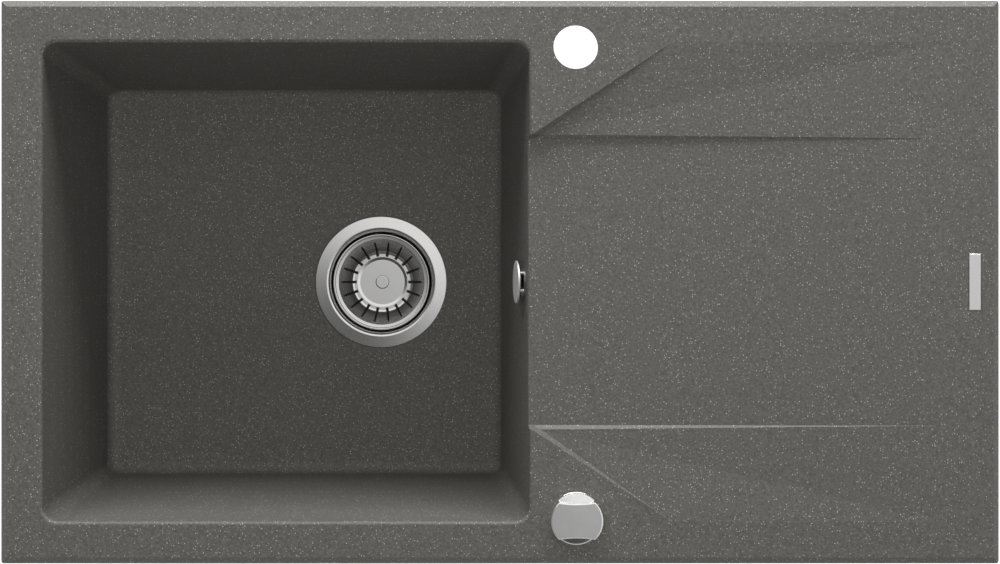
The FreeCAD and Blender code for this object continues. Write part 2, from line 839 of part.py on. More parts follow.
def waste_body():
    """Turned body in two parts: the upper one with overflow inlet and a spider for the bolt, and below it the
    sump with cable spigot, two lugs for the crank and the outlet."""
    outside = at_drain(lathe("waste_outside", [
        ("0", "-body_top"),
        ("body_flange", "-body_top"),
        ("body_flange", "-body_top - body_flange_height"),
        ("body_radius", "-body_top - body_flange_height"),
        ("body_radius", "-body_straight - body_wall / 3"),
        ("outlet_radius", "-outlet_top - body_wall / 3"),
        ("outlet_radius", "-outlet_bottom"),
        ("0", "-outlet_bottom"),
    ]))
    inside = at_drain(lathe("waste_inside", [
        ("0", "-body_top"),
        ("body_inner", "-body_top"),
        ("body_inner", "-body_straight"),
        ("outlet_bore", "-outlet_top"),
        ("outlet_bore", "-outlet_bottom"),
        ("0", "-outlet_bottom"),
    ]))
    to_drainer = Rotation(Vector(0, 1, 0), 90)
    inlet = cylinder("inlet_outside", "hose_radius", "inlet_reach")
    inlet_bore = cylinder("inlet_inside", "hose_bore", "inlet_reach")
    for tube in (inlet, inlet_bore):
        place(tube, "drain_x", "0", "floor_z - inlet_depth", to_drainer)
    spigot = cylinder("spigot_outside", "cable_spigot", "cable_spigot_reach - crank_arm")
    spigot_bore = cylinder("spigot_inside", "cable_spigot_bore", "cable_spigot_reach - crank_arm")
    for tube in (spigot, spigot_bore):
        stand(tube, cable_turn, along_cable("crank_arm", "cable_depth"))

    hub = cylinder("spider_hub", "spider_hub", "spider_height")
    place(hub, "drain_x", "0", "floor_z - spider_bottom")
    inner_parts = [hub]
    count = int(value("spider_count"))
    for i in range(count):
        rib = block(f"spider_rib{i}", "body_radius", "spider_rib", "spider_height - spider_rib / 2")
        turn = Rotation(UP, cable_heading + (i + 0.5) * 360 / count)
        middle = along_cable("0", "spider_bottom")
        inner_parts.append(stand(rib, turn, middle - turn.multVec(Vector(0, value("spider_rib / 2"), 0))))
    for side in (-1, 1):
        lug = block(f"crank_lug{side}", "lug_length + body_radius", "lug_thickness", "lug_height + body_cone")
        gap = value("crank_width / 2 + slack")
        offset = gap if side > 0 else -gap - value("lug_thickness")
        turn = Rotation(UP, cable_heading)
        corner = along_cable("crank_arm - lug_length / 2", "crank_depth + body_cone")
        inner_parts.append(stand(lug, turn, corner + turn.multVec(Vector(0, offset, 0))))
    fittings = common("waste_fittings", fuse("waste_fitting_blocks", *inner_parts), outside)
    shell = cut("waste_shell", fuse("waste_solid", outside, inlet, spigot), inside)
    joined = fuse("waste_joined", shell, fittings)
    axle_hole = cylinder("axle_hole", "axle_radius + running", "4 * crank_width")
    across = Rotation(UP, crank_across)
    axle_middle = along_cable("crank_arm", "crank_depth")
    stand(axle_hole, across, axle_middle - crank_across * value("2 * crank_width"))
    bolt_hole = at_drain(rod("spider_bore", "bolt_radius + running", "-outlet_top", "0"))
    axle_space = common("axle_space", axle_hole, inside)
    whole = cut("waste_whole", joined, fuse("waste_bores", inlet_bore, spigot_bore, bolt_hole, axle_space))
    upper = cylinder("waste_upper", "inlet_reach + body_radius", "body_joint")
    place(upper, "drain_x", "0", "floor_z - body_joint")
    node(common("waste_body", whole, upper))
    node(cut("waste_sump", whole, upper))
    seal_outer = "body_inner + gasket_width"
    at_drain(node(ring("body_seal", "body_inner", seal_outer, "-body_top", "gasket - body_top")))

    axle_half = "crank_width / 2 + slack + lug_thickness"
    axle = node(rod("lever_axle", "axle_radius", f"-({axle_half})", axle_half))
    stand(axle, across, axle_middle)


def lifting_gear():
    at_drain(node(lathe("centre_bolt", [
        ("pin_radius + running", "bolt_head_height - cup_bottom"),
        ("bolt_head", "bolt_head_height - cup_bottom"),
        ("bolt_head", "-cup_bottom"),
        ("bolt_radius", "-cup_bottom"),
        ("bolt_radius", "-cup_bottom - bolt_length"),
        ("pin_radius + running", "-cup_bottom - bolt_length"),
    ])))
    at_drain(node(rod("lift_pin", "pin_radius", "-pin_bottom", "-seal_bottom")))

    half = "crank_thickness / 2"
    crank = new_body("crank_plate")
    pad(crank, outline(crank, "crank_outline", "XZ_Plane", [
        ("crank_arm + crank_nose", f"-({half})"),
        ("crank_arm + crank_nose", half),
        (half, half),
        (half, "crank_rise + fork_tip"),
        (f"-({half})", "crank_rise + fork_tip"),
        (f"-({half})", f"-({half})"),
    ]), "crank_width", True)
    boss = cylinder("crank_eye", "crank_boss", "crank_width")
    bore = cylinder("crank_bore", "axle_radius + running", "2 * crank_width")
    sideways = Rotation(Vector(1, 0, 0), 90)
    place(boss, "0", "crank_width / 2", "0", sideways)
    place(bore, "0", "crank_width", "0", sideways)
    slot = block("fork_slot", "2 * crank_thickness", "fork_slot", "2 * crank_rise")
    place(slot, "-crank_thickness", "-fork_slot / 2", "crank_rise - fork_tip")
    lever = node(cut("lift_lever", fuse("crank_solid", crank, boss), fuse("crank_cuts", bore, slot)))
    stand(lever, Rotation(UP, cable_heading + 180), along_cable("crank_arm", "crank_depth"))

    tail = "cable_spigot_reach - crank_arm + cable_nut_length"
    pull = node(lathe("pull_rod", [
        ("0", f"-({half}) - slack - rod_head_length"),
        ("rod_head", f"-({half}) - slack - rod_head_length"),
        ("rod_head", f"-({half}) - slack"),
        ("rod_radius", f"-({half}) - slack"),
        ("rod_radius", tail),
        ("0", tail),
    ]))
    stand(pull, cable_turn, along_cable("crank_arm", "cable_depth"))


# Cable, held at both ends by its nuts

def bent_route(corners, bends):
    """A wire of straight runs joined by tangent arcs of the given radii."""
    edges = []
    start = corners[0]
    for before, corner, after, radius in zip(corners, corners[1:], corners[2:], bends):
        arrive = (corner - before).normalize()
        leave = (after - corner).normalize()
        half_turn = arrive.getAngle(leave) / 2
        reach = radius * math.tan(half_turn)
        first = corner - arrive * reach
        last = corner + leave * reach
        inward = (leave - arrive).normalize()
        middle = corner + inward * (radius / math.cos(half_turn) - radius)
        edges.append(Part.LineSegment(start, first).toShape())
        edges.append(Part.Arc(first, middle, last).toShape())
        start = last
    edges.append(Part.LineSegment(start, corners[-1]).toShape())
    return Part.Wire(edges)


def swept(route, radius):
    """A round solid along a wire."""
    start = route.OrderedVertexes[0].Point
    way = route.OrderedEdges[0].tangentAt(route.OrderedEdges[0].FirstParameter)
    section = Part.Wire([Part.Circle(start, way, radius).toShape()])
    return route.makePipeShell([section], True, False)


def cable():
    top = value("rim_thickness - drum_middle")
    start = Vector(value("cable_x"), value("cable_boss_reach - hole_y"), top)
    bend = Vector(value("cable_x"), value("cable_drop_y"), top)
    end = along_cable("cable_spigot_reach", "cable_depth")
    corner = Vector(bend.x, bend.y, end.z)
    route = bent_route([start, bend, corner, end], [value("cable_bend_top"), value("cable_bend_bottom")])
    sheath = swept(route, value("cable_radius")).cut(swept(route, value("cable_bore")))
    node(free_shape("bowden_cable", sheath))
    ends = (("knob_cable_nut", start, Vector(0, 1, 0)), ("waste_cable_nut", end, cable_way))
    for label, point, way in ends:
        nut = node(ring(label, "cable_radius + running", "cable_nut", "0", "cable_nut_length"))
        bevel(nut, "cable_radius", ring_edge("cable_nut", "cable_nut_length"))
        flute(nut, "cable_nut", "cable_nut_groove", "cable_nut_grooves")
        stand(nut, Rotation(UP, way), point)


# Knob, with heights counted from the top of the rim

def at_knob(thing):
    return place(thing, "hole_x", "-hole_y", "rim_thickness")


def lid_screw_spot(number, height):
    """Where one screw of the lid stands, in the middle of the case's wall."""
    angle = 2 * math.pi * (number + 0.25) / value("lid_screws")
    reach = value("case_radius - case_wall / 2")
    return Vector(reach * math.cos(angle), reach * math.sin(angle), value(height))


def knob_housing():
    case = lathe("housing_outside", [
        ("0", "-case_bottom"),
        ("case_radius", "-case_bottom"),
        ("case_radius", "-case_top"),
        ("neck_radius", "-case_top"),
        ("neck_radius", "neck_rise"),
        ("0", "neck_rise"),
    ])
    hollow = lathe("housing_inside", [
        ("0", "-case_bottom"),
        ("case_radius - case_wall", "-case_bottom"),
        ("case_radius - case_wall", "-case_top - case_roof"),
        ("spindle_radius + running", "-case_top - case_roof"),
        ("spindle_radius + running", "neck_rise"),
        ("0", "neck_rise"),
    ])
    to_back = Rotation(Vector(1, 0, 0), -90)
    boss = cylinder("cable_boss", "cable_boss", "cable_boss_reach")
    boss_bore = cylinder("cable_boss_bore", "cable_bore", "cable_boss_reach")
    for tube in (boss, boss_bore):
        place(tube, "-drum_groove", "0", "-drum_middle", to_back)
    screw_holes = []
    count = int(value("lid_screws"))
    for i in range(count):
        hole = cylinder(f"lid_screw_hole{i}", "lid_screw_radius + running", "2 * lid_screw_length")
        screw_holes.append(stand(hole, Rotation(), lid_screw_spot(i, "-case_bottom - lid_screw_length")))
    holes = fuse("lid_screw_holes", *screw_holes)
    bores = fuse("housing_bores", hollow, boss_bore, holes)
    at_knob(node(cut("knob_housing", fuse("housing_solid", case, boss), bores)))
    lid = ring("lid_plate", "spindle_radius + running", "case_radius", "-lid_bottom", "-case_bottom")
    at_knob(node(cut("housing_cover", lid, holes)))

    screws = []
    for i in range(count):
        screw = lathe(f"cover_screw{i}", [
            ("0", "-lid_thickness - lid_screw_head_height"),
            ("lid_screw_head", "-lid_thickness - lid_screw_head_height"),
            ("lid_screw_head", "-lid_thickness"),
            ("lid_screw_radius", "-lid_thickness"),
            ("lid_screw_radius", "lid_screw_length - lid_thickness"),
            ("0", "lid_screw_length - lid_thickness"),
        ])
        screws.append(stand(screw, Rotation(), lid_screw_spot(i, "-case_bottom")))
    at_knob(node(compound("cover_screws", *screws)))
    at_knob(node(ring("knob_seal", "neck_radius + slack", "case_radius", "-case_top", "-deck")))
    at_knob(node(ring("ring_seal", "neck_radius + slack", "ring_radius - ring_bevel", "0", "ring_seal")))
    ring_top = "ring_seal + ring_height"
    collar = node(ring("knob_ring", "neck_radius + slack", "ring_radius", "ring_seal", ring_top))
    bevel(collar, "ring_bevel", ring_edge("ring_radius", ring_top))
    at_knob(collar)


def knob():
    """Turned knob with a waisted grip bar on a coned base, on a spindle that carries the cable drum."""
    grip = lathe("knob_grip", [
        ("0", "knob_top"),
        ("0", "knob_foot + spindle_engage"),
        ("spindle_radius + running", "knob_foot + spindle_engage"),
        ("spindle_radius + running", "knob_foot"),
        ("knob_radius", "knob_foot"),
        ("knob_radius", "knob_top - knob_bevel_drop"),
        ("knob_radius - knob_bevel", "knob_top"),
    ])
    flare = "knob_waist_curve + knob_bevel"
    waists = []
    for side in ("-", ""):
        waist = lathe(f"knob_waist{len(waists)}", [
            ("0", "0"),
            ("knob_waist_curve", "0"),
            ("knob_waist_curve", "knob_top - knob_bevel_drop"),
            (flare, "knob_top"),
            (flare, "knob_top + knob_bevel"),
            ("0", "knob_top + knob_bevel"),
        ])
        waists.append(place(waist, "0", f"{side}(knob_waist + knob_waist_curve)"))
    bar = cut("knob_bar", grip, fuse("knob_waists", *waists))
    cone_edge = "knob_foot + knob_base - knob_scoop"
    base = lathe("knob_base", [
        ("spindle_radius + running", "knob_foot"),
        ("knob_radius", "knob_foot"),
        ("knob_radius", f"{cone_edge} - knob_bevel_drop"),
        ("knob_radius - knob_bevel", cone_edge),
        ("knob_waist", "knob_foot + knob_base"),
        ("spindle_radius + running", "knob_foot + knob_base"),
    ])
    to_back = Rotation(Vector(1, 0, 0), -90)
    screw_height = "knob_foot + knob_base / 2"
    hole = cylinder("set_screw_hole", "set_screw_radius + running", "knob_radius")
    place(hole, "0", "0", screw_height, to_back)
    at_knob(node(cut("control_knob", fuse("knob_solid", bar, base), hole)))
    screw_start = "spindle_radius + running"
    screw = rod("knob_screw", "set_screw_radius", screw_start, screw_start + " + set_screw_length")
    place(node(screw), "hole_x", "-hole_y", "rim_thickness + " + screw_height, to_back)

    spindle_top = "knob_foot + spindle_engage - slack"
    at_knob(node(rod("knob_spindle", "spindle_radius", "-lid_bottom", spindle_top)))
    drum = node(lathe("cable_drum", [
        ("spindle_radius + running", "-drum_top - drum_height"),
        ("drum_radius", "-drum_top - drum_height"),
        ("drum_radius", "-drum_middle - cable_radius"),
        ("drum_groove", "-drum_middle - cable_radius / 2"),
        ("drum_groove", "-drum_middle + cable_radius / 2"),
        ("drum_radius", "-drum_middle + cable_radius"),
        ("drum_radius", "-drum_top"),
        ("spindle_radius + running", "-drum_top"),
    ]))
    at_knob(drum)


# Overflow, along an axis square to the bowl's right wall that points into the bowl

wall_lean = math.degrees(math.atan2(value("draft_right"), value("bowl_depth")))
wall_turn = Rotation(Vector(0, 1, 0), wall_lean - 90)


def on_wall(thing, offset="0"):
    """Stand an object on the bowl's right wall, moved along the wall's normal."""
    foot = Vector(value("overflow_x"), 0, value("rim_thickness - overflow_drop"))
    return stand(thing, wall_turn, foot + wall_turn.multVec(UP) * value(offset))


def overflow():
    plate = lathe("cover_plate", [
        ("0", "cover_back"),
        ("cover_step", "cover_back"),
        ("cover_step", "cover_stand"),
        ("cover_radius", "cover_stand"),
        ("cover_radius", "cover_stand + cover_thickness"),
        ("0", "cover_stand + cover_thickness"),
    ])
    soften(plate, "cover_thickness / 3", ring_edge("cover_radius", "cover_stand + cover_thickness"))
    posts = []
    count = int(value("post_count"))
    for i in range(count):
        angle = 2 * math.pi * (i + 0.5) / count
        reach = value("post_circle")
        post = cylinder(f"cover_post{i}", "post_radius", "cover_back - collar_lip")
        foot = Vector(reach * math.cos(angle), reach * math.sin(angle), value("collar_lip"))
        posts.append(stand(post, Rotation(), foot))
    on_wall(node(fuse("overflow_cover", plate, *posts)))
    on_wall(node(lathe("overflow_collar", [
        ("collar_bore", "collar_lip"),
        ("collar_bore", "-collar_length"),
        ("overflow_hole - slack", "-collar_length"),
        ("overflow_hole - slack", "0"),
        ("collar_radius", "0"),
        ("collar_radius", "collar_lip"),
    ])))
    on_wall(node(ring("overflow_seal", "overflow_hole", "elbow_flange", "-elbow_face", "-wall_through")))


def elbow():
    """Elbow behind the wall: it takes the collar's tube and turns the water down to the hose."""
    shell = on_wall(lathe("elbow_outside", [
        ("0", "-elbow_back"),
        ("elbow_radius", "-elbow_back"),
        ("elbow_radius", "-elbow_face - elbow_end"),
        ("elbow_flange", "-elbow_face - elbow_end"),
        ("elbow_flange", "-elbow_face"),
        ("0", "-elbow_face"),
    ]))
    collar_fit = "overflow_hole - slack + running"
    bore = on_wall(rod("elbow_inside", collar_fit, "elbow_end - elbow_back", "-elbow_face"))
    height = "rim_thickness - overflow_drop"
    down = bored("elbow_drop", "hose_radius", "hose_x", "0", "-elbow_bottom", height)
    down_bore = bored("elbow_drop_bore", "hose_bore", "hose_x", "0", "-elbow_bottom", height)
    node(cut("overflow_elbow", fuse("elbow_solid", shell, down), fuse("elbow_bores", bore, down_bore)))


def overflow_hose():
    """Hose with plain ends and ribs between them, from the elbow down and across to the waste body."""
    top = Vector(value("hose_x"), 0, value("-elbow_bottom"))
    end = Vector(value("drain_x + inlet_reach"), 0, value("floor_z - inlet_depth"))
    bend = value("hose_bend")
    cuff = value("2 * hose_radius")
    down = top.z - end.z - bend
    arc = bend * math.pi / 2
    level = top.x - end.x - bend
    length = down + arc + level

    def ring_at(run, radius):
        """A circle round the hose's middle line, at a distance along it."""
        if run <= down:
            middle = top - UP * run
            way = -UP
        elif run <= down + arc:
            angle = (run - down) / bend
            middle = top - Vector(bend * (1 - math.cos(angle)), 0, down + bend * math.sin(angle))
            way = Vector(-math.sin(angle), 0, -math.cos(angle))
        else:
            middle = end + Vector(length - run, 0, 0)
            way = Vector(-1, 0, 0)
        turn = Rotation(Vector(0, 1, 0), Vector(), way, "ZXY")
        circle = Part.Circle(Vector(), UP, radius).toShape()
        circle.Placement = FreeCAD.Placement(middle, turn)
        return Part.Wire([circle])

    crest = value("hose_radius")
    valley = value("hose_valley")
    count = int((length - 2 * cuff) / value("hose_pitch"))
    pitch = (length - 2 * cuff) / count
    flank = value("hose_flank")
    rings = [ring_at(0, crest)]
    for i in range(count):
        start = cuff + i * pitch
        rings.append(ring_at(start, crest))
        rings.append(ring_at(start + flank, valley))
        rings.append(ring_at(start + pitch / 2, valley))
        rings.append(ring_at(start + pitch / 2 + flank, crest))
    rings.append(ring_at(length - cuff, crest))
    rings.append(ring_at(length, crest))
    ribbed = Part.makeLoft(rings, True, True)
    corner = Vector(top.x, 0, end.z)
    bore = swept(bent_route([top, corner, end], [bend]), value("hose_bore"))
    node(free_shape("overflow_hose", ribbed.cut(bore)))

    nuts = []
    for i, (point, way) in enumerate(((top, UP), (end, Vector(1, 0, 0)))):
        half = "hose_nut_length / 2"
        nut = ring(f"hose_nut{i}", "hose_radius + slack", "hose_nut", "-" + half, half)
        flute(nut, "hose_nut", "hose_nut_groove", "hose_nut_grooves")
        nuts.append(stand(nut, Rotation(UP, way), point))
    node(compound("hose_nuts", *nuts))


sink_body()
badge_plate()
waste_flange()
strainer_basket()
basket_fittings()
waste_body()
lifting_gear()
cable()
knob_housing()
knob()
overflow()
elbow()
overflow_hose()
doc.recompute()

for thing in doc.Objects:
    if "Invalid" in thing.State or "Error" in thing.State:
        raise RuntimeError(f"{thing.Label} did not compute: {thing.State}")
for thing in nodes:
    if thing.Shape.isNull() or not thing.Shape.isValid():
        raise RuntimeError(f"{thing.Label} has no valid shape")

os.makedirs("parts", exist_ok=True)
for thing in nodes:
    thing.Shape.exportStep(f"parts/{thing.Label}.step")
    print(f"{thing.Label}: {len(thing.Shape.Solids)} solids, {thing.Shape.Volume:.1f} mm3")
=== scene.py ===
import json
import math

import bpy
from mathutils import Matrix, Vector


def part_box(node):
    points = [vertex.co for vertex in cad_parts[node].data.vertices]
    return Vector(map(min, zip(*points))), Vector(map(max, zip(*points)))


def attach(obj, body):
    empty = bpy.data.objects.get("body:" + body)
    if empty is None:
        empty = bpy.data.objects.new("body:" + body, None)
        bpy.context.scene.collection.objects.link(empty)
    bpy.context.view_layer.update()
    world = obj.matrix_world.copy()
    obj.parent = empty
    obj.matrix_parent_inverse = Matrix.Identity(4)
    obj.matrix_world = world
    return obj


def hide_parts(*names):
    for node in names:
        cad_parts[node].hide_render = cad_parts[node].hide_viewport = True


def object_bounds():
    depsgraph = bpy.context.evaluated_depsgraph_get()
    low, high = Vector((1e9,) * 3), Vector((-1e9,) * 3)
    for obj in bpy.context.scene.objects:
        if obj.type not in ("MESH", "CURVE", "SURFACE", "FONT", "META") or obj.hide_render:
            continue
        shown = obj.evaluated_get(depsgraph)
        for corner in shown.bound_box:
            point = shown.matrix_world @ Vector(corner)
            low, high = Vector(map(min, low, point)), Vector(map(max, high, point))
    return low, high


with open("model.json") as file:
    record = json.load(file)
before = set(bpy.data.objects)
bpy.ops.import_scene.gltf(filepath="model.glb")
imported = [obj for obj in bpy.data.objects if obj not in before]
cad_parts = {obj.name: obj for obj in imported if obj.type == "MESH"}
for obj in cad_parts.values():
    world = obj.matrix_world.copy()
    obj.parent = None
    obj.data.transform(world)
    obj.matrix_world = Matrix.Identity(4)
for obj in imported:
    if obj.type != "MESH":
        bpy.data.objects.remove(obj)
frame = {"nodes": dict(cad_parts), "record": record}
cad_low, cad_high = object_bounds()
nodes = frame["nodes"]


# Node graphs, with sizes in metres and colours in linear light

# The range that most of a noise's values lie in
NOISE_LOW = 0.3
NOISE_HIGH = 0.7


class Graph:
    """A node tree with short ways to add to it."""

    def __init__(self, tree):
        self.tree = tree

    def node(self, kind, links=None, values=None, **settings):
        """Add a node with its settings, input links and input values."""
        made = self.tree.nodes.new(kind)
        for name, setting in settings.items():
            setattr(made, name, setting)
        for socket, source in (links or {}).items():
            self.tree.links.new(source, made.inputs[socket])
        for socket, number in (values or {}).items():
            made.inputs[socket].default_value = number
        return made

    def math(self, operation, first, second):
        """A sum, product or the like of two operands, each a number or a socket."""
        made = self.node("ShaderNodeMath", operation=operation)
        for slot, operand in enumerate((first, second)):
            if isinstance(operand, (int, float)):
                made.inputs[slot].default_value = operand
            else:
                self.tree.links.new(operand, made.inputs[slot])
        return made.outputs["Value"]

    def product(self, first, *others):
        for other in others:
            first = self.math("MULTIPLY", first, other)
        return first

    def remap(self, source, low, high, to_low=0.0, to_high=1.0, smooth=False):
        """A value carried from one range to another."""
        kind = "SMOOTHSTEP" if smooth else "LINEAR"
        values = {"From Min": low, "From Max": high, "To Min": to_low, "To Max": to_high}
        made = self.node("ShaderNodeMapRange", {"Value": source}, values, interpolation_type=kind)
        return made.outputs["Result"]

    def spread(self, noise, low=0.0, high=1.0):
        """A noise stretched to fill a range."""
        return self.remap(noise, NOISE_LOW, NOISE_HIGH, low, high)

    def shown(self):
        """1 on rays that the camera follows, straight or by way of shiny and clear surfaces."""
        path = self.node("ShaderNodeLightPath")
        mirrored = self.math("MAXIMUM", path.outputs["Is Glossy Ray"], path.outputs["Is Transmission Ray"])
        return self.math("MAXIMUM", path.outputs["Is Camera Ray"], mirrored)


class Finish(Graph):
    """A node material being put together round one Principled shader."""

    def __init__(self, name, dark, light, roughness, metallic=0.0):
        """Start with the middle of two shades and of two roughnesses."""
        self.material = bpy.data.materials.new(name)
        self.material.use_nodes = True
        super().__init__(self.material.node_tree)
        self.shader = self.tree.nodes["Principled BSDF"]
        self.dark = dark
        self.light = light
        self.roughness = roughness
        middle = tuple((low + high) / 2 for low, high in zip(dark, light))
        self.set_socket("Base Color", (*middle, 1.0))
        self.set_socket("Roughness", sum(roughness) / 2)
        self.set_socket("Metallic", metallic)
        self.place = self.node("ShaderNodeTexCoord").outputs["Object"]

    def set_socket(self, socket, number):
        self.shader.inputs[socket].default_value = number

    def drive(self, socket, source):
        self.tree.links.new(source, self.shader.inputs[socket])

    def vary(self, noise):
        """Let a noise choose between the two shades and between the two roughnesses."""
        self.drive("Base Color", self.blend(noise, self.dark, self.light))
        self.drive("Roughness", self.spread(noise, *self.roughness))

    def noise(self, size, detail=2.0, place=None):
        """Soft noise with grains of about one size."""
        links = {"Vector": place or self.place}
        return self.node("ShaderNodeTexNoise", links, {"Scale": 1 / size, "Detail": detail}).outputs["Fac"]

    def grains(self, spacing):
        """Scattered points: the distance to the nearest, in spacings, and a random colour for each."""
        made = self.node("ShaderNodeTexVoronoi", {"Vector": self.place}, {"Scale": 1 / spacing})
        return made.outputs["Distance"], made.outputs["Color"]

    def reach(self, axis):
        """Distance from an upright axis."""
        kind = "ShaderNodeVectorMath"
        across = self.node(kind, {0: self.place}, {1: axis}, operation="SUBTRACT").outputs["Vector"]
        level = self.node(kind, {0: across}, {1: (1.0, 1.0, 0.0)}, operation="MULTIPLY").outputs["Vector"]
        return self.node(kind, {0: level}, operation="LENGTH").outputs["Value"]

    def rings(self, reach, size):
        """Noise that changes only with a distance, in rings of about one size."""
        values = {"Scale": 1 / size, "Detail": 2.0}
        return self.node("ShaderNodeTexNoise", {"W": reach}, values, noise_dimensions="1D").outputs["Fac"]

    def stretch(self, scale):
        """The place in the object, scaled differently along each axis."""
        return self.node("ShaderNodeMapping", {"Vector": self.place}, {"Scale": scale}).outputs["Vector"]

    def channel(self, color, name):
        return self.node("ShaderNodeSeparateColor", {"Color": color}).outputs[name]

    def blend(self, share, first, second):
        """A colour between two, each a colour or a socket."""
        made = self.node("ShaderNodeMix", data_type="RGBA")
        self.tree.links.new(share, made.inputs["Factor"])
        for socket, color in (("A", first), ("B", second)):
            target = next(i for i in made.inputs if i.name == socket and i.type == "RGBA")
            if isinstance(color, tuple):
                target.default_value = (*color, 1.0)
            else:
                self.tree.links.new(color, target)
        return next(o for o in made.outputs if o.type == "RGBA")

    def bump(self, height, depth):
        """Relief from a height of 0 to 1."""
        made = self.node("ShaderNodeBump", {"Height": height}, {"Distance": depth})
        self.drive("Normal", made.outputs["Normal"])


# Granite composite

STONE_DARK = (0.060, 0.058, 0.0525)
STONE_LIGHT = (0.134, 0.129, 0.1175)
STONE_ROUGHNESS = (0.52, 0.66)
STONE_RELIEF_SIZE = 0.0009
STONE_RELIEF_DEPTH = 0.00004
MOTTLE_SIZE = 0.0018
MOTTLE_RANGE = (0.25, 0.75)
GRAIN_COLOR = (0.72, 0.70, 0.65)
GRAIN_SPACING = 0.0019
# Distances from a grain's middle, in spacings
GRAIN_EDGE = 0.25
GRAIN_CORE = 0.09
GRAIN_PATCH = 0.016
FEWEST_GRAINS = 0.25
FAINTEST_GRAIN = 0.25


def granite():
    """Dark grey composite with fine light grains, thicker in some places than in others."""
    finish = Finish("granite", STONE_DARK, STONE_LIGHT, STONE_ROUGHNESS)
    distance, color = finish.grains(GRAIN_SPACING)
    crowd = finish.spread(finish.noise(GRAIN_PATCH), FEWEST_GRAINS, 1.0)
    kept = finish.math("LESS_THAN", finish.channel(color, "Red"), crowd)
    dot = finish.remap(distance, GRAIN_EDGE, GRAIN_CORE, smooth=True)
    glow = finish.remap(finish.channel(color, "Green"), 0.0, 1.0, FAINTEST_GRAIN, 1.0)
    mottle = finish.noise(MOTTLE_SIZE, detail=3.0)
    body = finish.blend(finish.remap(mottle, *MOTTLE_RANGE), STONE_DARK, STONE_LIGHT)
    finish.drive("Base Color", finish.blend(finish.product(dot, kept, glow), body, GRAIN_COLOR))
    finish.drive("Roughness", finish.spread(mottle, *STONE_ROUGHNESS))
    finish.bump(finish.noise(STONE_RELIEF_SIZE, detail=3.0), STONE_RELIEF_DEPTH)
    return finish.material


# Stainless steel of the waste

STEEL = (0.86, 0.855, 0.845)
STEEL_SHADE = tuple(0.93 * channel for channel in STEEL)
STEEL_ROUGHNESS = (0.14, 0.21)
RING_SIZE = 0.0005
RING_DEPTH = 0.000002

# The basket's slotted wall between two radii: painted shade, darkest at the inner radius at the wall's foot
# and fading outwards, and a rougher surface there
BASKET_WALL = (0.0262, 0.0373)
WALL_EDGE = 0.0016
WALL_PAINTED_SHADE = (0.20, 0.198, 0.192)
WALL_ROUGHER = 0.15
WALL_FADED = 0.15


def turned_steel(name, axis, wall=None):
    """Stainless steel with fine rings round an upright axis; on a wall between two radii, painted shade
    darkens it and it turns rougher.
    """
    finish = Finish(name, STEEL_SHADE, STEEL, STEEL_ROUGHNESS, metallic=1.0)
    reach = finish.reach(axis)
    rings = finish.rings(reach, RING_SIZE)
    rough = finish.spread(rings, *STEEL_ROUGHNESS)
    color = finish.blend(finish.spread(rings), STEEL_SHADE, STEEL)
    if wall:
        inner, outer = wall
        # Painted shade on the wall: a mask rising at the inner radius and fading outwards darkens the
        # colour, and also adds roughness
        begun = finish.remap(reach, inner, inner + WALL_EDGE, smooth=True)
        fading = finish.remap(reach, inner + WALL_EDGE, outer, 1.0, WALL_FADED)
        within = finish.math("LESS_THAN", reach, outer)
        painted_shade_and_dull = finish.product(begun, fading, within)
        color = finish.blend(painted_shade_and_dull, color, WALL_PAINTED_SHADE)
        rough = finish.math("ADD", rough, finish.product(painted_shade_and_dull, WALL_ROUGHER))
    finish.drive("Roughness", rough)
    finish.drive("Base Color", color)
    finish.bump(rings, RING_DEPTH)
    return finish.material


# Other metals

CHROME_DARK = (0.87, 0.87, 0.87)
CHROME_LIGHT = (0.93, 0.93, 0.92)
CHROME_SWING = 0.04
HAZE_SIZE = 0.012

PLATE_DARK = (0.66, 0.66, 0.65)
PLATE_LIGHT = (0.78, 0.78, 0.77)
PLATE_ROUGHNESS = (0.22, 0.36)
# Brush lines to the metre along each axis
BRUSH_SCALE = (4000.0, 40.0, 400.0)

ZINC_DARK = (0.48, 0.48, 0.49)
ZINC_LIGHT = (0.66, 0.66, 0.63)
ZINC_ROUGHNESS = (0.28, 0.44)
SPANGLE_SIZE = 0.003
ZINC_RELIEF_SIZE = 0.0006

METAL_RELIEF = 0.00001


def chrome(name, roughness):
    """Chrome plating with a trace of haze."""
    swing = (roughness - CHROME_SWING, roughness + CHROME_SWING)
    finish = Finish(name, CHROME_DARK, CHROME_LIGHT, swing, metallic=1.0)
    finish.vary(finish.noise(HAZE_SIZE, detail=3.0))
    return finish.material


def brushed_plate():
    """Aluminium plate with straight brush lines along Y."""
    finish = Finish("badge_metal", PLATE_DARK, PLATE_LIGHT, PLATE_ROUGHNESS, metallic=1.0)
    lines = finish.noise(1.0, place=finish.stretch(BRUSH_SCALE))
    finish.vary(lines)
    finish.bump(lines, METAL_RELIEF)
    return finish.material


def plated_steel():
    """Zinc-plated steel with faint cloudy spangle."""
    finish = Finish("plated_steel", ZINC_DARK, ZINC_LIGHT, ZINC_ROUGHNESS, metallic=1.0)
    finish.vary(finish.noise(SPANGLE_SIZE, detail=4.0))
    finish.bump(finish.noise(ZINC_RELIEF_SIZE), METAL_RELIEF)
    return finish.material


# Plastics and rubber: dark and light shade, middle roughness, and size and depth of the surface's grain
MOULDED = {
    "rubber": ((0.018, 0.018, 0.018), (0.03, 0.03, 0.029), 0.75, 0.0008, 0.00003),
    "white_plastic": ((0.74, 0.74, 0.71), (0.82, 0.82, 0.80), 0.42, 0.0012, 0.00003),
    "black_plastic": ((0.022, 0.022, 0.023), (0.036, 0.036, 0.037), 0.5, 0.0007, 0.00004),
}
MOULDED_SWING = 0.06
SHADE_SIZE = 0.015


